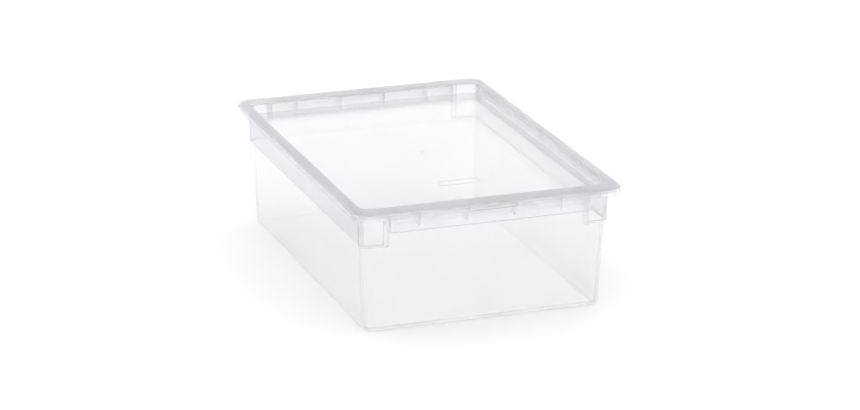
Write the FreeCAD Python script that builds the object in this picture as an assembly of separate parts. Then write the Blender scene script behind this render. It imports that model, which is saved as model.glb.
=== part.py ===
"""Clear lidded shoe box: a drafted tub, a recessed stacking lid and its two snap tabs.

Millimetres, +Z up, X across the short sides, Y along the long sides.
The origin is the centre of the underside, on the surface that the box stands on.
"""
import FreeCAD, Part
import math
import os

Vec = FreeCAD.Vector

# Overall sizes
lid_width = 270.0             # over the lid's skirt, along X
lid_length = 395.0            # over the lid's skirt, along Y
box_height = 125.0            # underside of the tub to the top of the lid's rim

# Tub walls
wall = 1.4                    # thickness of the tub's walls
base_thickness = 1.8
wall_draft = 2.2              # degrees
wall_corner_r = 9.0           # outside corner radius of the tub's walls
base_edge_r = 6.0             # outside radius between walls and base
side_overhang = 8.1           # skirt's outer face to the collar's, on the long sides
end_overhang = 15.4           # the same on the short sides

# Collar, where the long walls and the corners step out below the rim
collar_step = 1.6             # how far the collar stands out from the lower wall
collar_depth = 38.3           # rim top to the step
strip_spacing = 202.6         # centre to centre of the two strips on a short side
strip_width = 5.1
strip_proud = 2.4             # how far a strip stands out from the collar
strip_overrun = 0.5           # how far a strip runs below the collar's step

# Tub flange under the lid
flange_thickness = 1.4
flange_lip_drop = 4.0         # flange top to the lower edge of its turned-down lip
flange_lip = 1.4              # thickness of that lip

# Grip apron that hangs from the flange on each short side
apron_width = 203.0
apron_depth = 21.5            # rim top to the apron's lower edge
apron_setback = 1.0           # apron's face behind the flange's edge
apron_corner_r = 2.5
apron_wall = 1.4
rib_thickness = 1.3           # ribs between the apron and the wall
rib_spacing = 47.5
ribs_per_apron = 4
rib_depth = 17.0              # rim top to a rib's foot, where the wall behind steps out

# Single gusset near each corner of the long sides
gusset_thickness = 1.6
gusset_inset = 20.0           # from the collar's end face to the gusset
gusset_depth = 18.0           # rim top to the gusset's foot
gusset_foot = 1.2             # how far the foot stands out from the collar

# Lid
lid_wall = 1.4
skirt_height = 7.5
skirt_corner_r = 16.0         # outside corner radius of the skirt
rim_outer_r = 2.2             # rounded outer top edge of the rim
rim_inner_r = 1.0             # rounded inner top edge of the rim
recess_depth = 10.0           # rim top to the panel's upper face
recess_corner_r = 8.5         # corner radius inside the recess
recess_foot_r = 2.6           # radius between the recess wall and the panel
gate_r = 1.6                  # moulding gate mark in the middle of the panel
gate_height = 0.4

# Snap tabs, one in the middle of each short skirt
tab_width = 47.0
tab_thickness = 1.2
hinge_r = 0.4                 # half thickness of the thin hinge along the tab's root
hinge_neck = 0.7              # height of the thin stretch below the root
tab_lip_height = 2.0          # thickened edge along the tab's foot
tab_lip_proud = 1.0           # how far that edge stands out from the tab's face
tab_overrun = 1.0             # how far the tab reaches below the skirt
catch_reach = 1.2             # how far the catch reaches in from the skirt's inner face
catch_height = 1.2
edge_break = 0.4              # small chamfers along the tab's foot
grip_bar_width = 25.0
grip_bar_height = 1.8
grip_bar_proud = 0.8
grip_bar_drop = 4.4           # rim top to the middle of the grip bar

# Fits
lid_side_gap = 0.3            # tub's inner face to the lid's recess wall
skirt_gap = 1.5               # flange's edge to the skirt's inner face
tab_end_gap = 0.8             # slot at each end of a tab
tab_root_gap = 0.1            # round tab root in its seat

# Levels and half sizes that follow
slope = math.tan(math.radians(wall_draft))
flange_top = box_height - lid_wall
collar_z = box_height - collar_depth
half_x = lid_width / 2
half_y = lid_length / 2
collar_x = half_x - side_overhang
collar_y = half_y - end_overhang
flange_x = half_x - lid_wall - skirt_gap
flange_y = half_y - lid_wall - skirt_gap
flange_corner_r = skirt_corner_r - lid_wall - skirt_gap
strip_x = strip_spacing / 2
recess_x = collar_x - wall - lid_side_gap - lid_wall
recess_y = collar_y - wall - lid_side_gap - lid_wall
panel_z = box_height - recess_depth
skirt_foot = box_height - skirt_height
seat_r = hinge_r + tab_root_gap
root_z = flange_top - seat_r
root_y = half_y - lid_wall / 2


def outline(hx, hy, r, z, mid_y=0.0):
    """Rounded rectangle with half sizes hx and hy about (0, mid_y), as a wire at height z."""
    edges = []
    corners = ((hx, hy, 0), (-hx, hy, 90), (-hx, -hy, 180), (hx, -hy, 270))
    arcs = []
    for x, y, turn in corners:
        cx = x - math.copysign(r, x)
        cy = y - math.copysign(r, y)
        points = []
        for angle in (turn, turn + 45, turn + 90):
            a = math.radians(angle)
            points.append(Vec(cx + r * math.cos(a), mid_y + cy + r * math.sin(a), z))
        arcs.append(points)
    for i, points in enumerate(arcs):
        edges.append(Part.Arc(*points).toShape())
        edges.append(Part.makeLine(points[2], arcs[(i + 1) % 4][0]))
    return Part.Wire(edges)


def prism(hx, hy, r, z0, z1):
    """Upright rounded block from z0 to z1."""
    return Part.Face(outline(hx, hy, r, z0)).extrude(Vec(0, 0, z1 - z0))


def block(x0, x1, y0, y1, z0, z1):
    """Plain box between two corners."""
    return Part.makeBox(x1 - x0, y1 - y0, z1 - z0, Vec(x0, y0, z0))


def drafted(inset, r, z0, z1):
    """Block that follows the collar's drafted face, set in by inset, from z0 to z1."""
    wires = []
    for z in (z0, z1):
        back = inset + (flange_top - z) * slope
        wires.append(outline(collar_x - back, collar_y - back, r, z))
    return Part.makeLoft(wires, True, True)


def edges_at(shape, z, reach=1000.0):
    """Level edges of a shape at height z that stay within reach of the YZ plane."""
    found = []
    for edge in shape.Edges:
        box = edge.BoundBox
        level = abs(box.ZMin - z) < 1e-4 and abs(box.ZMax - z) < 1e-4
        if level and max(abs(box.XMin), abs(box.XMax)) < reach:
            found.append(edge)
    return found


def wall_block(inset, r, step_z, notch_z, notch_x, foot_z, foot_r):
    """Solid bounded by one face of the tub's walls: lower wall, step and collar, which starts
    at notch_z in the middle of the short sides and at step_z elsewhere."""
    lower = drafted(inset + collar_step, r, foot_z, flange_top)
    lower = lower.makeFillet(foot_r, edges_at(lower, foot_z))
    collar = drafted(inset, r, step_z, flange_top)
    notch = block(-notch_x, notch_x, -half_y, half_y, step_z - 1.0, notch_z)
    return lower.fuse(collar.cut(notch))


def apron(side):
    """Apron on one short side: a deep lip with returned ends, and the ribs behind it."""
    top = flange_top - flange_thickness / 2
    foot = box_height - apron_depth
    back_y = collar_y - end_overhang
    shells = []
    for inset in (0.0, apron_wall):
        wires = []
        for z in (foot, top):
            draft = (flange_top - z) * slope
            face_y = flange_y - apron_setback - inset - draft
            hx = apron_width / 2 - inset - draft
            hy = (face_y - back_y) / 2
            r = apron_corner_r - inset
            wires.append(outline(hx, hy, r, z, side * (face_y + back_y) / 2))
        shells.append(Part.makeLoft(wires, True, True))
    pieces = [shells[0].cut(shells[1])]
    low, high = sorted((side * back_y, side * (flange_y - apron_setback - apron_wall / 2)))
    first = -(ribs_per_apron - 1) / 2
    for i in range(ribs_per_apron):
        x = (first + i) * rib_spacing
        rib = block(x - rib_thickness / 2, x + rib_thickness / 2, low, high,
                    box_height - rib_depth, top)
        pieces.append(rib.common(shells[0]))
    return pieces


def gusset(place, side):
    """Gusset under the flange on one long side (side = -1 or 1 along X)."""
    top = flange_top - flange_thickness / 2
    foot = box_height - gusset_depth
    foot_draft = (flange_top - foot) * slope
    reach = flange_x - flange_lip / 2
    profile = [(collar_x - wall / 2, top), (reach, top), (reach, flange_top - flange_lip_drop),
               (collar_x + gusset_foot - foot_draft, foot),
               (collar_x - wall / 2 - foot_draft, foot)]
    points = [Vec(side * x, place - gusset_thickness / 2, z) for x, z in profile]
    points.append(points[0])
    return Part.Face(Part.makePolygon(points)).extrude(Vec(0, gusset_thickness, 0))


def strip(x, side):
    """Rounded-end strip that runs down a short side over the edge of the collar."""
    foot = collar_z - strip_overrun
    r = strip_width / 2
    back = collar_step + wall / 2 + (flange_top - foot) * slope
    y0 = side * (collar_y - back)
    y1 = side * (collar_y + strip_proud)
    low, high = min(y0, y1), max(y0, y1)
    body = block(x - r, x + r, low, high, foot + r, flange_top - flange_thickness / 2)
    end = Part.makeCylinder(r, high - low, Vec(x, low, foot + r), Vec(0, 1, 0))
    solid = body.fuse(end)
    front = drafted(-strip_proud, wall_corner_r, foot - 1.0, flange_top)
    return solid.common(front)


def make_tub():
    high_z = box_height - rib_depth
    outer = wall_block(0.0, wall_corner_r, collar_z, high_z, strip_x, 0.0, base_edge_r)
    flange = prism(flange_x, flange_y, flange_corner_r, flange_top - flange_lip_drop, flange_top)
    under = prism(flange_x - flange_lip, flange_y - flange_lip, flange_corner_r - flange_lip,
                  flange_top - flange_lip_drop - 1.0, flange_top - flange_thickness)
    extras = [flange.cut(under)]
    for side in (-1, 1):
        extras.extend(apron(side))
        for end in (-1, 1):
            extras.append(gusset(end * (collar_y - gusset_inset), side))
            extras.append(strip(end * strip_x, side))
    inner = wall_block(wall, wall_corner_r - wall, collar_z + wall, high_z + wall,
                       strip_x + wall, base_thickness, base_edge_r - wall)
    return outer.fuse(extras).cut(inner).removeSplitter()


def tab_window(side):
    """Space in the skirt for one tab: an open slot with a round seat along its top."""
    w = tab_width / 2 + tab_end_gap
    y0 = side * (half_y - lid_wall - 1.0)
    y1 = side * (half_y + 1.0)
    low, high = min(y0, y1), max(y0, y1)
    slot = block(-w, w, low, high, skirt_foot - 1.0, root_z)
    seat = Part.makeCylinder(seat_r, 2 * w, Vec(-w, side * root_y, root_z), Vec(1, 0, 0))
    return slot.fuse(seat)


def make_lid():
    body = prism(half_x, half_y, skirt_corner_r, skirt_foot, box_height)
    body = body.makeFillet(rim_outer_r, edges_at(body, box_height))
    under = prism(half_x - lid_wall, half_y - lid_wall, skirt_corner_r - lid_wall,
                  skirt_foot - 1.0, flange_top)
    body = body.cut(under)
    pan = prism(recess_x + lid_wall, recess_y + lid_wall, recess_corner_r + lid_wall,
                panel_z - lid_wall, flange_top + lid_wall / 2)
    pan = pan.makeFillet(recess_foot_r + lid_wall, edges_at(pan, panel_z - lid_wall))
    recess = prism(recess_x, recess_y, recess_corner_r, panel_z, box_height + 1.0)
    recess = recess.makeFillet(recess_foot_r, edges_at(recess, panel_z))
    lid = body.fuse(pan).cut(recess).removeSplitter()
    mouth = edges_at(lid, box_height, recess_x + rim_inner_r)
    lid = lid.makeFillet(rim_inner_r, mouth)
    for side in (-1, 1):
        lid = lid.cut(tab_window(side))
    gate = Part.makeCylinder(gate_r, gate_height + lid_wall / 2, Vec(0, 0, panel_z - lid_wall / 2))
    return lid.fuse(gate)


def make_tab(side):
    w = tab_width / 2
    foot = skirt_foot - tab_overrun
    face = root_y + tab_thickness / 2
    back = root_y - tab_thickness / 2
    tip = root_y - lid_wall / 2 - catch_reach
    neck_z = root_z - hinge_neck
    profile = [
        (root_y - hinge_r, root_z), (root_y - hinge_r, neck_z), (back, neck_z - hinge_r),
        (back, foot + catch_height + catch_reach), (tip, foot + catch_height),
        (tip, foot + edge_break), (tip + edge_break, foot),
        (face + tab_lip_proud - edge_break, foot), (face + tab_lip_proud, foot + edge_break),
        (face + tab_lip_proud, foot + tab_lip_height - edge_break),
        (face, foot + tab_lip_height), (face, neck_z - hinge_r),
        (root_y + hinge_r, neck_z), (root_y + hinge_r, root_z),
    ]
    points = [Vec(-w, side * y, z) for y, z in profile]
    points.append(points[0])
    plate = Part.Face(Part.makePolygon(points)).extrude(Vec(tab_width, 0, 0))
    root = Part.makeCylinder(hinge_r, tab_width, Vec(-w, side * root_y, root_z), Vec(1, 0, 0))
    bar_z = box_height - grip_bar_drop
    r = grip_bar_height / 2
    y0 = side * root_y
    y1 = side * (face + grip_bar_proud)
    low, high = min(y0, y1), max(y0, y1)
    span = grip_bar_width / 2 - r
    bar = block(-span, span, low, high, bar_z - r, bar_z + r)
    for x in (-span, span):
        bar = bar.fuse(Part.makeCylinder(r, high - low, Vec(x, low, bar_z), Vec(0, 1, 0)))
    return plate.fuse([root, bar]).removeSplitter()


os.makedirs("parts", exist_ok=True)
shapes = {
    "tub": make_tub(),
    "lid": make_lid(),
    "front_latch_tab": make_tab(-1),
    "rear_latch_tab": make_tab(1),
}
for name, shape in shapes.items():
    solids = shape.Solids
    assert len(solids) == 1, name + " is not one solid"
    solids[0].exportStep(os.path.join("parts", name + ".step"))
    box = solids[0].BoundBox
    print(name, solids[0].isValid(), round(solids[0].Volume), [round(v, 2) for v in
          (box.XMin, box.XMax, box.YMin, box.YMax, box.ZMin, box.ZMax)])
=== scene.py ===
"""Clear shoe box with its lid on: one tub moulding, one lid moulding and the lid's two snap tabs."""
import math
import bmesh
import bpy
from mathutils import Matrix, Vector


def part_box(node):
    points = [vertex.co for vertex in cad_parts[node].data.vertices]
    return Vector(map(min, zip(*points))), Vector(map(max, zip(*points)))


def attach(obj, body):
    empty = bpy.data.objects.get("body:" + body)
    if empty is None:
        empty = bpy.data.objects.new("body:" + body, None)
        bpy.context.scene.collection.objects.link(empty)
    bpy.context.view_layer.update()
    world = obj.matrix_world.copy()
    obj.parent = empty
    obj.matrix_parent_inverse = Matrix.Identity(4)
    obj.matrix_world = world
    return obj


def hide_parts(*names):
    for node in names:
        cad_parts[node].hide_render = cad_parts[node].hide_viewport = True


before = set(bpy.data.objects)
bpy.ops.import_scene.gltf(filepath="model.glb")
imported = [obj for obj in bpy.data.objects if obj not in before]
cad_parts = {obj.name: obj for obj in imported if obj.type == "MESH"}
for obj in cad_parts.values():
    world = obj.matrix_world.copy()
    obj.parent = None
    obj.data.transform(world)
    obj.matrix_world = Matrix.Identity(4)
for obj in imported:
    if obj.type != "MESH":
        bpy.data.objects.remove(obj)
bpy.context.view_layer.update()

scene = bpy.context.scene
mm = 0.001


# Camera. A long lens from the left of one short side, a little above the rim, so that the
# long edges stay nearly parallel.
def aim(azimuth, elevation):
    """Unit vector from the box to a camera at these angles, in degrees."""
    a = math.radians(azimuth)
    e = math.radians(elevation)
    return Vector((math.sin(a) * math.cos(e), -math.cos(a) * math.cos(e), math.sin(e)))


camera_data = bpy.data.cameras.new("camera")
camera = bpy.data.objects.new("camera", camera_data)
scene.collection.objects.link(camera)
camera_back = aim(azimuth=-20.09, elevation=18.61)
camera_target = Vector((6.8, -5.7, 60.3)) * mm
camera_distance = 3242.0 * mm
turn = camera_back.to_track_quat("Z", "Y").to_matrix().to_4x4()
lean = Matrix.Rotation(math.radians(0.37), 4, "Z")
camera_place = camera_target + camera_back * camera_distance
camera.matrix_world = Matrix.Translation(camera_place) @ turn @ lean
camera_data.lens = 136.3
camera_data.sensor_width = 36.0
camera_data.clip_end = 60.0
scene.camera = camera


# Studio. A white sweep under the box and an even white tent of light around it, bright
# enough for the ground to come out nearly plain white.
def new_object(name, bm):
    """Object at the origin that takes the finished mesh of bm."""
    mesh = bpy.data.meshes.new(name)
    bm.to_mesh(mesh)
    bm.free()
    made = bpy.data.objects.new(name, mesh)
    scene.collection.objects.link(made)
    return made


def new_material(name):
    """Empty node material, its tree and its surface socket."""
    material = bpy.data.materials.new(name)
    material.use_nodes = True
    tree = material.node_tree
    tree.nodes.clear()
    output = tree.nodes.new("ShaderNodeOutputMaterial")
    return material, tree, output


ground = bmesh.new()
bmesh.ops.create_circle(ground, cap_ends=True, segments=96, radius=8.0)
floor = new_object("studio_floor", ground)
floor_paint, tree, output = new_material("white sweep")
paint = tree.nodes.new("ShaderNodeBsdfDiffuse")
paint.inputs["Color"].default_value = (0.99, 0.99, 0.99, 1.0)
tree.links.new(paint.outputs["BSDF"], output.inputs["Surface"])
floor.data.materials.append(floor_paint)

tent = bpy.data.worlds.new("light tent")
scene.world = tent
tent.use_nodes = True
tent_light = tent.node_tree.nodes["Background"]
tent_light.inputs["Color"].default_value = (0.985, 0.985, 1.0, 1.0)
tent_light.inputs["Strength"].default_value = 1.17
scene.view_settings.view_transform = "Standard"
scene.cycles.use_denoising = True
scene.cycles.max_bounces = 20
scene.cycles.transmission_bounces = 20
scene.cycles.transparent_max_bounces = 32


# Tub. One injection moulding in natural polypropylene: drafted walls, a collar that steps
# out, a turned-down flange with webs under it, and on each short side a deep grip apron with
# ribs behind it and two rounded strips. Its outside and its core are shaped one by one.
def start_ring(bm, hx, hy, r, steps, cuts=()):
    """Rounded rectangle of loose edges, cut across the short sides at each x in cuts."""
    bmesh.ops.create_grid(bm, x_segments=1, y_segments=1, size=1.0)
    bmesh.ops.scale(bm, vec=(hx, hy, 1.0), verts=bm.verts)
    bmesh.ops.bevel(bm, geom=bm.verts[:], offset=r, offset_type="OFFSET", segments=steps,
                    profile=0.5, affect="VERTICES", material=-1)
    bmesh.ops.delete(bm, geom=bm.faces[:], context="FACES_ONLY")
    home = bm.verts.layers.float_vector.new("home")
    line = bm.verts.layers.float.new("line")
    for x in cuts:
        for edge in bm.edges[:]:
            a, b = sorted(edge.verts, key=lambda vert: vert.co.x)
            if a.co.x < x < b.co.x and abs(a.co.y - b.co.y) < 1e-7:
                split = bmesh.utils.edge_split(edge, a, (x - a.co.x) / (b.co.x - a.co.x))[1]
                split[line] = x
    for vert in bm.verts:
        core = Vector((max(r - hx, min(hx - r, vert.co.x)),
                       max(r - hy, min(hy - r, vert.co.y)), 0.0))
        away = (vert.co - core).normalized()
        vert[home] = (core.x / (hx - r), core.y / (hy - r), math.atan2(away.y, away.x))
    return bm.edges[:]


def place_ring(bm, verts, hx, hy, r, z):
    """Moves a ring's verts onto a rounded rectangle of another size and height."""
    home = bm.verts.layers.float_vector["home"]
    line = bm.verts.layers.float["line"]
    for vert in verts:
        u, v, angle = vert[home]
        x = vert[line] or u * (hx - r) + r * math.cos(angle)
        vert.co = (x, v * (hy - r) + r * math.sin(angle), z)


def grow_ring(bm, ring, station):
    """Extrudes a ring to its next station and returns the new edges and verts."""
    grown = bmesh.ops.extrude_edge_only(bm, edges=ring)["geom"]
    verts = {item for item in grown if isinstance(item, bmesh.types.BMVert)}
    edges = []
    for item in grown:
        if isinstance(item, bmesh.types.BMEdge) and verts.issuperset(item.verts):
            edges.append(item)
    place_ring(bm, verts, *station)
    return edges, verts


def close_shell(bm, *mouths):
    """Caps the open ends of a shell, welds it and points its faces outwards."""
    for mouth in mouths:
        bmesh.ops.contextual_create(bm, geom=mouth)
    bmesh.ops.remove_doubles(bm, verts=bm.verts, dist=1e-6)
    bmesh.ops.dissolve_degenerate(bm, dist=1e-7, edges=bm.edges)
    bmesh.ops.recalc_face_normals(bm, faces=bm.faces)


def sweep(name, path, steps=12, cuts=()):
    """Closed shell through the stations of path, each (half x, half y, radius, height)."""
    bm = bmesh.new()
    ring = start_ring(bm, *path[0][:3], steps, cuts)
    place_ring(bm, bm.verts[:], *path[0])
    first = ring
    for station in path[1:]:
        ring, verts = grow_ring(bm, ring, station)
    close_shell(bm, first, ring)
    return new_object(name, bm)


def quarter(hx, hy, r, z, radius, low, high, steps, up=1.0):
    """Stations round one quarter of an edge: its centre ring, radius, and angles in degrees."""
    stations = []
    for i in range(steps + 1):
        angle = math.radians(low + (high - low) * i / steps)
        out = radius * math.cos(angle)
        stations.append((hx + out, hy + out, r + out, z + up * radius * math.sin(angle)))
    return stations


def carve(base, operation, tools):
    """Joins tools to base, or cuts them out of it, and leaves one mesh."""
    for tool in tools:
        step = base.modifiers.new("carve", "BOOLEAN")
        step.operation = operation
        step.solver = "MANIFOLD"
        step.object = tool
    graph = bpy.context.evaluated_depsgraph_get()
    base.data = bpy.data.meshes.new_from_object(base.evaluated_get(graph))
    base.modifiers.clear()
    for tool in tools:
        bpy.data.objects.remove(tool)


def finish_moulding(piece, body, *nodes):
    """Smooth shading that breaks only at true edges, and the part the piece stands for."""
    bm = bmesh.new()
    bm.from_mesh(piece.data)
    bmesh.ops.remove_doubles(bm, verts=bm.verts, dist=2e-6)
    bmesh.ops.dissolve_degenerate(bm, dist=2e-6, edges=bm.edges)
    for face in bm.faces:
        face.smooth = True
    for edge in bm.edges:
        if len(edge.link_faces) == 2:
            edge.smooth = edge.calc_face_angle() < math.radians(32.0)
    bm.to_mesh(piece.data)
    bm.free()
    even = piece.modifiers.new("even shading", "WEIGHTED_NORMAL")
    even.keep_sharp = True
    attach(piece, body)
    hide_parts(*nodes)


tub_high = Vector(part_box("tub")[1])
lid_high = Vector(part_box("lid")[1])
rim_z = lid_high.z
flange_z = tub_high.z
wall = 1.4 * mm
slope = math.tan(math.radians(2.2))
collar_x = lid_high.x - 8.1 * mm
collar_y = lid_high.y - 15.4 * mm
collar_step = 1.6 * mm
collar_foot = rim_z - 38.3 * mm
rib_foot = rim_z - 17.0 * mm
apron_foot = rim_z - 21.5 * mm
apron_y = tub_high.y - 1.0 * mm
strip_x = 101.3 * mm
joined_z = flange_z - 0.7 * mm    # aprons, ribs, strips and webs run up into the flange to here


def wall_station(z, inset, r):
    """Half sizes, radius and height of a tub wall face, inset from the collar's face."""
    back = inset + (flange_z - z) * slope
    return collar_x - back, collar_y - back, r, z


def foot_stations(inset, foot_z, foot_r, r, steps):
    """Stations round the tub's bottom edge, from the base up to the wall."""
    hx, hy, r, z = wall_station(foot_z + foot_r, inset + collar_step, r)
    return quarter(hx - foot_r, hy - foot_r, r - foot_r, z, foot_r, -90.0, 0.0, steps)


def wall_shell(name, inset, top, foot_z, foot_r, r, lip):
    """Block bounded by one face of the tub's walls. Its collar runs right round above the
    ribs, and stops between the strips of each short side below them."""
    edge = strip_x + inset
    soft = 0.5 * mm
    bm = bmesh.new()
    foot_path = foot_stations(inset, foot_z, foot_r, r, 6)
    cuts = (-edge - soft, -edge + soft, edge - soft, edge + soft)
    ring = start_ring(bm, *foot_path[0][:3], 12, cuts)
    place_ring(bm, bm.verts[:], *foot_path[0])
    first = ring
    pad_z = collar_foot + inset
    notch_z = rib_foot + inset
    # Each ring says whether it is pressed back to the wall between the strips. The first
    # five after the foot go round the collar's step and soften its edge.
    path = [(station, False) for station in foot_path[1:]]
    path.append((wall_station(pad_z - soft, inset + collar_step, r), False))
    path.append((wall_station(pad_z, inset + collar_step * 0.85, r), True))
    path.append((wall_station(pad_z + 0.1 * mm, inset + soft, r), True))
    path.append((wall_station(pad_z + soft, inset + 0.07 * mm, r), True))
    path.append((wall_station(pad_z + 2 * soft, inset, r), True))
    path.append((wall_station(notch_z - soft, inset, r), True))
    path.append((wall_station(notch_z + soft, inset, r), False))
    path.append((wall_station(top - lip, inset, r), False))
    if lip:
        hx, hy, r, z = wall_station(top - lip, inset - lip, r)
        path.extend((station, False) for station in quarter(hx, hy, r + lip, z, -lip, 30.0,
                                                            90.0, 3, up=-1.0))
        path.append(((hx, hy, r, top + 1.0 * mm), False))
    for station, pressed in path:
        ring, verts = grow_ring(bm, ring, station)
        if pressed:
            back = inset + collar_step + (flange_z - station[3]) * slope
            for vert in verts:
                if abs(vert.co.x) < edge and abs(vert.co.y) > 0.5 * collar_y:
                    vert.co.y = math.copysign(collar_y - back, vert.co.y)
    close_shell(bm, first, ring)
    return new_object(name, bm)


def shrink(sizes, by):
    """Ring sizes set in by a distance."""
    return tuple(size - by for size in sizes)


def flange():
    """Flange with a turned-down lip, its edges softened; its hole is cut later."""
    hx, hy = tub_high.x, tub_high.y
    r = 13.1 * mm
    nip = 0.4 * mm
    lip_drop = 4.0 * mm
    foot = flange_z - lip_drop
    under = flange_z - wall
    inner = (hx - wall, hy - wall, r - wall)
    root = 0.6 * mm
    path = [(collar_x - root, collar_y - root, 8.0 * mm, under), (*inner, under)]
    path.extend(((*inner, foot + nip), (*shrink(inner, -nip), foot)))
    path.extend(quarter(hx - nip, hy - nip, r - nip, foot + nip, nip, -90.0, 0.0, 2))
    path.extend(quarter(hx - nip, hy - nip, r - nip, flange_z - nip, nip, 0.0, 90.0, 2))
    return sweep("flange", path)


def box_tool(name, low, high, soft=0.0):
    """Plain block between two corners, its edges bevelled by soft."""
    bm = bmesh.new()
    bmesh.ops.create_cube(bm, size=1.0)
    low, high = Vector(low), Vector(high)
    bmesh.ops.scale(bm, vec=high - low, verts=bm.verts)
    bmesh.ops.translate(bm, vec=(low + high) / 2, verts=bm.verts)
    if soft:
        bmesh.ops.bevel(bm, geom=bm.edges[:], offset=soft, segments=2, profile=0.5,
                        affect="EDGES", material=-1)
    return new_object(name, bm)


def apron(side):
    """Deep lip with returned ends that hangs from the flange, with its foot rounded over."""
    half_width = 101.5 * mm
    back_y = collar_y - 12.0 * mm
    nip = 0.5 * mm
    dip = 0.12 * mm

    def station(z, inset):
        lean = inset + (flange_z - z) * slope
        face_y = apron_y - lean
        rear_y = back_y + inset
        ring = (half_width - lean, (face_y - rear_y) / 2, 2.5 * mm - inset, z)
        return ring, (face_y + rear_y) / 2

    bm = bmesh.new()
    foot = apron_foot
    path = [station(joined_z, wall), station(foot + nip, wall)]
    path.extend((station(foot + dip, wall - 0.2 * nip), station(foot, wall * 0.62)))
    path.extend((station(foot, wall * 0.38), station(foot + dip, 0.2 * nip)))
    path.extend((station(foot + nip, 0.0), station(joined_z, 0.0)))
    first = start_ring(bm, *path[0][0][:3], 8)
    place_ring(bm, bm.verts[:], *path[0][0])
    bmesh.ops.translate(bm, vec=(0.0, path[0][1], 0.0), verts=bm.verts)
    ring = first
    for here, mid_y in path[1:]:
        ring, verts = grow_ring(bm, ring, here)
        bmesh.ops.translate(bm, vec=(0.0, mid_y, 0.0), verts=list(verts))
    bmesh.ops.bridge_loops(bm, edges=first + ring)
    if side < 0:
        bmesh.ops.scale(bm, vec=(1.0, -1.0, 1.0), verts=bm.verts)
    close_shell(bm)
    return new_object("apron", bm)


def rib(x, side):
    """Rib between the apron and the wall, its edges softened."""
    half = 0.65 * mm
    reach = apron_y - 0.7 * mm - (flange_z - rib_foot) * slope
    y0, y1 = sorted((side * (collar_y - 5.0 * mm), side * reach))
    return box_tool("rib", (x - half, y0, rib_foot), (x + half, y1, joined_z), soft=0.2 * mm)


def strip(x, side):
    """Rounded-end strip down a short side, over the edge of the collar."""
    foot = collar_foot - 0.5 * mm
    r = 2.55 * mm
    proud = 2.4 * mm
    bm = bmesh.new()
    bmesh.ops.create_circle(bm, cap_ends=True, segments=32, radius=r)
    bmesh.ops.rotate(bm, cent=(0, 0, 0), matrix=Matrix.Rotation(math.radians(90), 3, "X"),
                     verts=bm.verts)
    bmesh.ops.translate(bm, vec=(x, 0.0, foot + r), verts=bm.verts)
    for vert in bm.verts:
        if vert.co.z > foot + r + 1e-7:
            vert.co.z = joined_z
            vert.co.x = x + math.copysign(r, vert.co.x - x)
    bmesh.ops.remove_doubles(bm, verts=bm.verts, dist=1e-6)
    for vert in bm.verts:
        vert.co.y = side * (collar_y + proud - (flange_z - vert.co.z) * slope)
    front = bm.faces[:]
    grown = bmesh.ops.extrude_face_region(bm, geom=front, use_keep_orig=True)["geom"]
    back = [item for item in grown if isinstance(item, bmesh.types.BMVert)]
    bmesh.ops.translate(bm, vec=(0.0, -side * (proud + 4.0 * mm), 0.0), verts=back)
    bmesh.ops.bevel(bm, geom=front[0].edges[:], offset=0.5 * mm, segments=3, profile=0.5,
                    affect="EDGES", material=-1)
    bmesh.ops.recalc_face_normals(bm, faces=bm.faces)
    return new_object("strip", bm)


def gusset(y, side):
    """Three-cornered web under the flange on a long side."""
    foot = rim_z - 18.0 * mm
    root = collar_x - 4.0 * mm
    out = collar_x + 1.2 * mm - (flange_z - foot) * slope
    reach = tub_high.x - 0.7 * mm
    thickness = 1.6 * mm
    near_y = y - thickness / 2
    bm = bmesh.new()
    bmesh.ops.create_grid(bm, x_segments=1, y_segments=1, size=1.0)
    corners = ((root, foot), (out, foot), (reach, flange_z - 3.8 * mm), (root, joined_z))
    face = bm.faces[:][0]
    for vert, (x, z) in zip(face.verts, corners):
        vert.co = (side * x, near_y, z)
    top = bmesh.utils.edge_split(face.edges[2], face.edges[2].verts[0], 0.5)[1]
    top.co = (side * reach, near_y, joined_z)
    grown = bmesh.ops.extrude_face_region(bm, geom=[face], use_keep_orig=True)["geom"]
    far = [item for item in grown if isinstance(item, bmesh.types.BMVert)]
    bmesh.ops.translate(bm, vec=(0.0, thickness, 0.0), verts=far)
    bmesh.ops.recalc_face_normals(bm, faces=bm.faces)
    return new_object("gusset", bm)


rib_spacing = 47.5 * mm
gusset_y = collar_y - 20.0 * mm
tub = wall_shell("tub_moulding", inset=0.0, top=flange_z - 0.3 * mm, foot_z=0.0,
                 foot_r=6.0 * mm, r=9.0 * mm, lip=0.0)
tub_extras = [flange()]
for side in (-1, 1):
    tub_extras.append(apron(side))
    for i in (-1.5, -0.5, 0.5, 1.5):
        tub_extras.append(rib(i * rib_spacing, side))
    for end in (-1, 1):
        tub_extras.append(strip(end * strip_x, side))
        tub_extras.append(gusset(end * gusset_y, side))
carve(tub, "UNION", tub_extras)
core = wall_shell("core", inset=wall, top=flange_z, foot_z=1.8 * mm, foot_r=4.6 * mm,
                  r=7.6 * mm, lip=0.6 * mm)
carve(tub, "DIFFERENCE", [core])
finish_moulding(tub, "tub", "tub")


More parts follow.
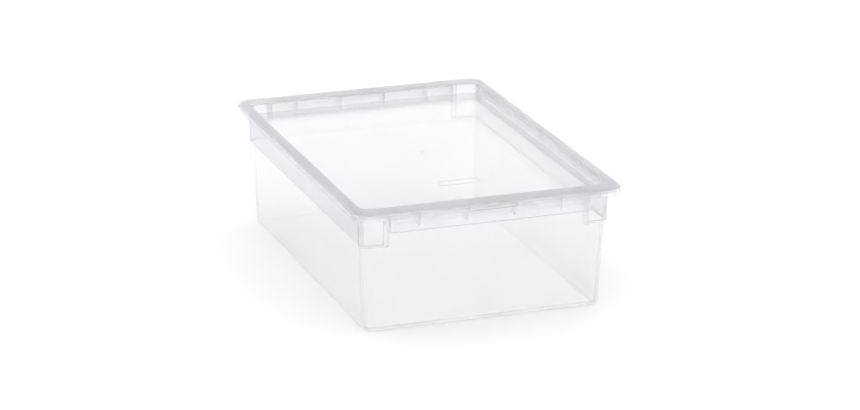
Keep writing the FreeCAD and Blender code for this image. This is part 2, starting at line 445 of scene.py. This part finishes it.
def natural_plastic(name, tint, clear, rough, grain):
    """Uncoloured polypropylene: part clear, part milky, with the mould's fine grain."""
    material, tree, output = new_material(name)
    nodes, links = tree.nodes, tree.links
    place = nodes.new("ShaderNodeTexCoord")
    flow = nodes.new("ShaderNodeTexNoise")
    flow.inputs["Scale"].default_value = 9.0
    flow.inputs["Detail"].default_value = 1.0
    fine = nodes.new("ShaderNodeTexNoise")
    fine.inputs["Scale"].default_value = 900.0
    fine.inputs["Detail"].default_value = 1.0
    for texture in (flow, fine):
        links.new(place.outputs["Object"], texture.inputs["Vector"])
    gloss = nodes.new("ShaderNodeMapRange")
    gloss.inputs["To Min"].default_value = rough * 0.8
    gloss.inputs["To Max"].default_value = rough * 1.2
    links.new(flow.outputs["Fac"], gloss.inputs["Value"])
    skin = nodes.new("ShaderNodeBump")
    skin.inputs["Strength"].default_value = grain
    skin.inputs["Distance"].default_value = 0.05 * mm
    links.new(fine.outputs["Fac"], skin.inputs["Height"])
    plastic = nodes.new("ShaderNodeBsdfPrincipled")
    plastic.inputs["Base Color"].default_value = (*tint, 1.0)
    plastic.inputs["IOR"].default_value = 1.49
    plastic.inputs["Transmission Weight"].default_value = 0.9
    plastic.inputs["Alpha"].default_value = 1.0 - clear
    links.new(gloss.outputs["Result"], plastic.inputs["Roughness"])
    links.new(skin.outputs["Normal"], plastic.inputs["Normal"])
    links.new(plastic.outputs["BSDF"], output.inputs["Surface"])
    return material


def finish_faces(piece, finishes, pick):
    """Gives a piece its mould finishes and painted shade; pick says which one a face has, by where
    it lies.
    """
    piece.data.materials.clear()
    for finish in finishes:
        piece.data.materials.append(finish)
    for face in piece.data.polygons:
        face.material_index = finishes.index(pick(face.center, face.normal))


walls_finish = natural_plastic("milky walls", (1.0, 0.998, 1.0), 0.55, 0.21, 0.3)
# Satin finish whose darker tint is painted shade for bands that lie in shade or behind a second
# layer of plastic.
satin_band_painted_shade = natural_plastic("satin band painted shade", (0.94, 0.944, 0.962), 0.42, 0.12, 0.3)
# Painted shade: a darker satin tint for the long sides' collar bands, the strips and the grip bar,
# which lie in shade.
dark_satin_painted_shade = natural_plastic("dark satin painted shade", (0.8, 0.805, 0.83), 0.25, 0.12, 0.3)
# Painted shade: the darkest tint, standing in for the dark lines where light runs through thick
# plastic at the steps, the lips and the gate.
painted_edge_shade = natural_plastic("thick edge painted shade", (0.6, 0.61, 0.65), 0.1, 0.2, 0.3)


def pick_tub_finish_and_shade(centre, normal):
    """Painted shade by place: darkest on the collar's steps and under the aprons, where light runs
    along the plastic; dark satin on the long sides' bands and the strips; lighter satin on the
    flange, the aprons and the other bands; milky on the walls.
    """
    x, y, z = abs(centre.x), abs(centre.y), centre.z
    # Painted shade: the darkest tint on the collar's steps and under the aprons.
    outer_step = abs(z - collar_foot) < 0.9 * mm and normal.z < -0.1
    inner_step = abs(z - collar_foot - wall) < 0.9 * mm and normal.z > 0.1
    under_apron = y > collar_y + 3.0 * mm and z < apron_foot + 0.5 * mm and normal.z < -0.15
    if outer_step or inner_step or under_apron:
        return painted_edge_shade
    # Painted shade: the darker satin on the long sides' bands and on the strips.
    faces_side = abs(normal.x) > 0.6
    over_step = z > collar_foot + 1.0 * mm
    in_flange = z > flange_z - 5.0 * mm
    on_side = faces_side and x > collar_x - 8.0 * mm and y < collar_y - 4.0 * mm
    on_strip = abs(x - strip_x) < 2.6 * mm and collar_y - 1.5 * mm < y < collar_y + 3.0 * mm
    if (on_side and over_step and not in_flange) or on_strip:
        return dark_satin_painted_shade
    on_apron = y > collar_y + 0.5 * mm
    over_notch = x < strip_x and z > rib_foot
    if in_flange or on_apron or (over_step if faces_side else over_notch):
        return satin_band_painted_shade
    return walls_finish


finish_faces(tub, [walls_finish, satin_band_painted_shade, dark_satin_painted_shade, painted_edge_shade], pick_tub_finish_and_shade)


# Lid. A second moulding in the same plastic, a little clearer: a hollow rounded rim with a
# skirt round the flange, a recessed panel that another box stands on, and a slot in the
# middle of each short skirt where a tab hangs. A gate mark and a plain label frame are on it.
panel_z = rim_z - 10.0 * mm
skirt_foot = rim_z - 7.5 * mm
recess_x = collar_x - wall - 0.3 * mm - wall
recess_y = collar_y - wall - 0.3 * mm - wall
recess_r = 8.5 * mm
pan = (recess_x + wall, recess_y + wall, recess_r + wall)
skirt = (lid_high.x, lid_high.y, 16.0 * mm)
skirt_in = shrink(skirt, wall)
foot_r = 4.0 * mm
lid_path = quarter(*shrink(pan, foot_r), panel_z - wall + foot_r, foot_r, -90.0, 0.0, 6)
lid_path.append((*pan, flange_z - 0.3 * mm))
lid_path.append((*shrink(pan, -0.3 * mm), flange_z))
lid_path.append((*shrink(skirt_in, 0.6 * mm), flange_z))
lid_path.append((*shrink(skirt_in, 0.18 * mm), flange_z - 0.18 * mm))
lid_path.append((*skirt_in, flange_z - 0.6 * mm))
lid_path.append((*skirt_in, skirt_foot + 0.3 * mm))
lid_path.append((*shrink(skirt_in, -0.3 * mm), skirt_foot))
lid_path.extend(quarter(*shrink(skirt, 0.4 * mm), skirt_foot + 0.4 * mm, 0.4 * mm, -90.0, 0.0, 3))
lid_path.extend(quarter(*shrink(skirt, 2.2 * mm), rim_z - 2.2 * mm, 2.2 * mm, 0.0, 90.0, 6))
recess = (recess_x, recess_y, recess_r)
mouth = shrink(recess, -1.0 * mm)
lid_path.extend(quarter(*mouth, rim_z - 1.0 * mm, -1.0 * mm, 90.0, 0.0, 4, up=-1.0))
lid_path.extend(quarter(*shrink(recess, 2.6 * mm), panel_z + 2.6 * mm, 2.6 * mm, 0.0, -90.0, 6))
lid = sweep("lid_moulding", lid_path, steps=14)

hinge_r = 0.4 * mm
root_z = flange_z - 0.5 * mm
root_y = lid_high.y - 0.7 * mm
tab_x = 23.5 * mm
slot_x = tab_x + 0.8 * mm


def rod(name, x, y, z, radius):
    """Level rod along the short sides, between -x and x."""
    bm = bmesh.new()
    bmesh.ops.create_cone(bm, cap_ends=True, segments=24, radius1=radius, radius2=radius,
                          depth=2 * x)
    bmesh.ops.rotate(bm, cent=(0, 0, 0), matrix=Matrix.Rotation(math.radians(90), 3, "Y"),
                     verts=bm.verts)
    bmesh.ops.translate(bm, vec=(0.0, y, z), verts=bm.verts)
    return new_object(name, bm)


def disc(name, z0, z1, radius):
    """Low round boss in the middle of the panel, with a softened top edge."""
    bm = bmesh.new()
    bmesh.ops.create_cone(bm, cap_ends=True, segments=40, radius1=radius, radius2=radius,
                          depth=z1 - z0)
    bmesh.ops.translate(bm, vec=(0.0, 0.0, (z0 + z1) / 2), verts=bm.verts)
    top = [edge for edge in bm.edges if min(vert.co.z for vert in edge.verts) > z1 - 1e-7]
    bmesh.ops.bevel(bm, geom=top, offset=0.15 * mm, segments=2, profile=0.5,
                    affect="EDGES", material=-1)
    return new_object(name, bm)


def label_frame(x, y, hx, hy, line, z0, z1):
    """Low raised rounded frame on the panel."""
    bm = bmesh.new()
    r = 3.0 * mm
    nip = 0.15 * mm
    inner = (hx - line, hy - line, r - line)
    path = [(*inner, z0), (*inner, z1 - nip), (*shrink(inner, -nip), z1)]
    path.extend(((hx - nip, hy - nip, r - nip, z1), (hx, hy, r, z1 - nip), (hx, hy, r, z0)))
    ring = start_ring(bm, *path[0][:3], 8)
    place_ring(bm, bm.verts[:], *path[0])
    first = ring
    for station in path[1:]:
        ring, verts = grow_ring(bm, ring, station)
    bmesh.ops.bridge_loops(bm, edges=first + ring)
    close_shell(bm)
    bmesh.ops.translate(bm, vec=(x, y, 0.0), verts=bm.verts)
    return new_object("label_frame", bm)


gate_r = 1.6 * mm
in_panel_z = panel_z - 0.7 * mm
gate = disc("gate", in_panel_z, panel_z + 0.4 * mm, gate_r)
frame_mark = label_frame(x=2.0 * mm, y=-101.0 * mm, hx=21.0 * mm, hy=7.0 * mm, line=1.2 * mm,
                         z0=in_panel_z, z1=panel_z + 0.35 * mm)
carve(lid, "UNION", [gate, frame_mark])
windows = []
for side in (-1, 1):
    y0, y1 = sorted((side * (lid_high.y - 2.4 * mm), side * (lid_high.y + 1.0 * mm)))
    windows.append(box_tool("slot", (-slot_x, y0, skirt_foot - 1.0 * mm), (slot_x, y1, root_z)))
    windows.append(rod("seat", slot_x - 0.02 * mm, side * root_y, root_z, hinge_r + 0.1 * mm))
carve(lid, "DIFFERENCE", windows)
finish_moulding(lid, "lid", "lid")
panel_finish = natural_plastic("clear panel", (0.91, 0.91, 0.916), 0.4, 0.05, 0.1)
skirt_finish = natural_plastic("satin skirt", (0.93, 0.934, 0.95), 0.4, 0.12, 0.3)
rim_finish = natural_plastic("satin rim", (0.91, 0.914, 0.93), 0.2, 0.35, 0.4)


def pick_lid_finish_and_shade(centre, normal):
    """Satin on the rim and the skirt, clear inside the recess, and the darkest painted shade on the
    gate disc.
    """
    if centre.z > rim_z - 2.3 * mm and normal.z > -0.2:
        return rim_finish
    if centre.z > panel_z + 0.1 * mm and centre.xy.length < gate_r + 0.1 * mm:
        return painted_edge_shade
    inside = abs(centre.x) < recess_x + 1.6 * mm and abs(centre.y) < recess_y + 1.6 * mm
    return panel_finish if inside and centre.z < rim_z - 1.0 * mm else skirt_finish


finish_faces(lid, [skirt_finish, panel_finish, rim_finish, painted_edge_shade], pick_lid_finish_and_shade)


# Snap tabs. Part of the lid's moulding: each hangs in its slot from a thin living hinge, with
# a thick lip along its foot, a catch behind it that goes under the flange, and a grip bar.
bar_z = rim_z - 4.4 * mm


def snap_tab(name, side):
    """One tab: its profile run along the short side, with the hinge root and the grip bar."""
    half = 0.6 * mm
    lip_height = 2.0 * mm
    lip_proud = 1.0 * mm
    catch = 1.2 * mm
    ease = 0.4 * mm
    foot = skirt_foot - 1.0 * mm
    neck = root_z - 0.7 * mm
    face = root_y + half
    back = root_y - half
    tip = root_y - 0.7 * mm - catch
    lip = face + lip_proud
    shoulder = foot + lip_height + ease
    outline = [(root_y - hinge_r, root_z), (root_y - hinge_r, neck), (back, neck - ease),
               (back, shoulder), (tip, foot + catch), (tip, foot), (lip, foot),
               (lip, foot + lip_height), (face, shoulder), (face, neck - ease),
               (root_y + hinge_r, neck), (root_y + hinge_r, root_z)]
    bm = bmesh.new()
    corners = [bm.verts.new((-tab_x, side * y, z)) for y, z in outline]
    end = bmesh.ops.contextual_create(bm, geom=corners)["faces"]
    grown = bmesh.ops.extrude_face_region(bm, geom=end, use_keep_orig=True)["geom"]
    far = [item for item in grown if isinstance(item, bmesh.types.BMVert)]
    bmesh.ops.translate(bm, vec=(2 * tab_x, 0.0, 0.0), verts=far)
    bmesh.ops.recalc_face_normals(bm, faces=bm.faces)
    soft = [edge for edge in bm.edges if max(vert.co.z for vert in edge.verts) < neck]
    bmesh.ops.bevel(bm, geom=soft, offset=0.3 * mm, segments=3, profile=0.5,
                    affect="EDGES", clamp_overlap=True, material=-1)
    tab = new_object(name, bm)
    root = rod("root", tab_x, side * root_y, root_z, hinge_r)
    carve(tab, "UNION", [root, grip_bar(side * (face - 0.1 * mm))])
    return tab


def grip_bar(y):
    """Raised bar with round ends: a ball pulled apart in the middle."""
    stretch = 11.6 * mm
    bm = bmesh.new()
    bmesh.ops.create_uvsphere(bm, u_segments=24, v_segments=16, radius=0.9 * mm)
    for vert in bm.verts:
        if abs(vert.co.x) > 1e-7:
            vert.co.x += math.copysign(stretch, vert.co.x)
    bmesh.ops.translate(bm, vec=(0.0, y, bar_z), verts=bm.verts)
    return new_object("grip", bm)


def pick_tab_finish_and_shade(centre, normal):
    """Painted shade on the grip bar (dark satin) and under the lip (darkest tint), satin elsewhere.
    """
    if centre.z > bar_z - 1.2 * mm and abs(centre.y) > root_y + 0.65 * mm:
        return dark_satin_painted_shade
    return painted_edge_shade if centre.z < skirt_foot - 0.6 * mm else skirt_finish


for name, body, node, side in (("front_tab_moulding", "front_tab", "front_latch_tab", -1),
                               ("rear_tab_moulding", "rear_tab", "rear_latch_tab", 1)):
    tab = snap_tab(name, side)
    finish_moulding(tab, body, node)
    finish_faces(tab, [skirt_finish, painted_edge_shade, dark_satin_painted_shade], pick_tab_finish_and_shade)
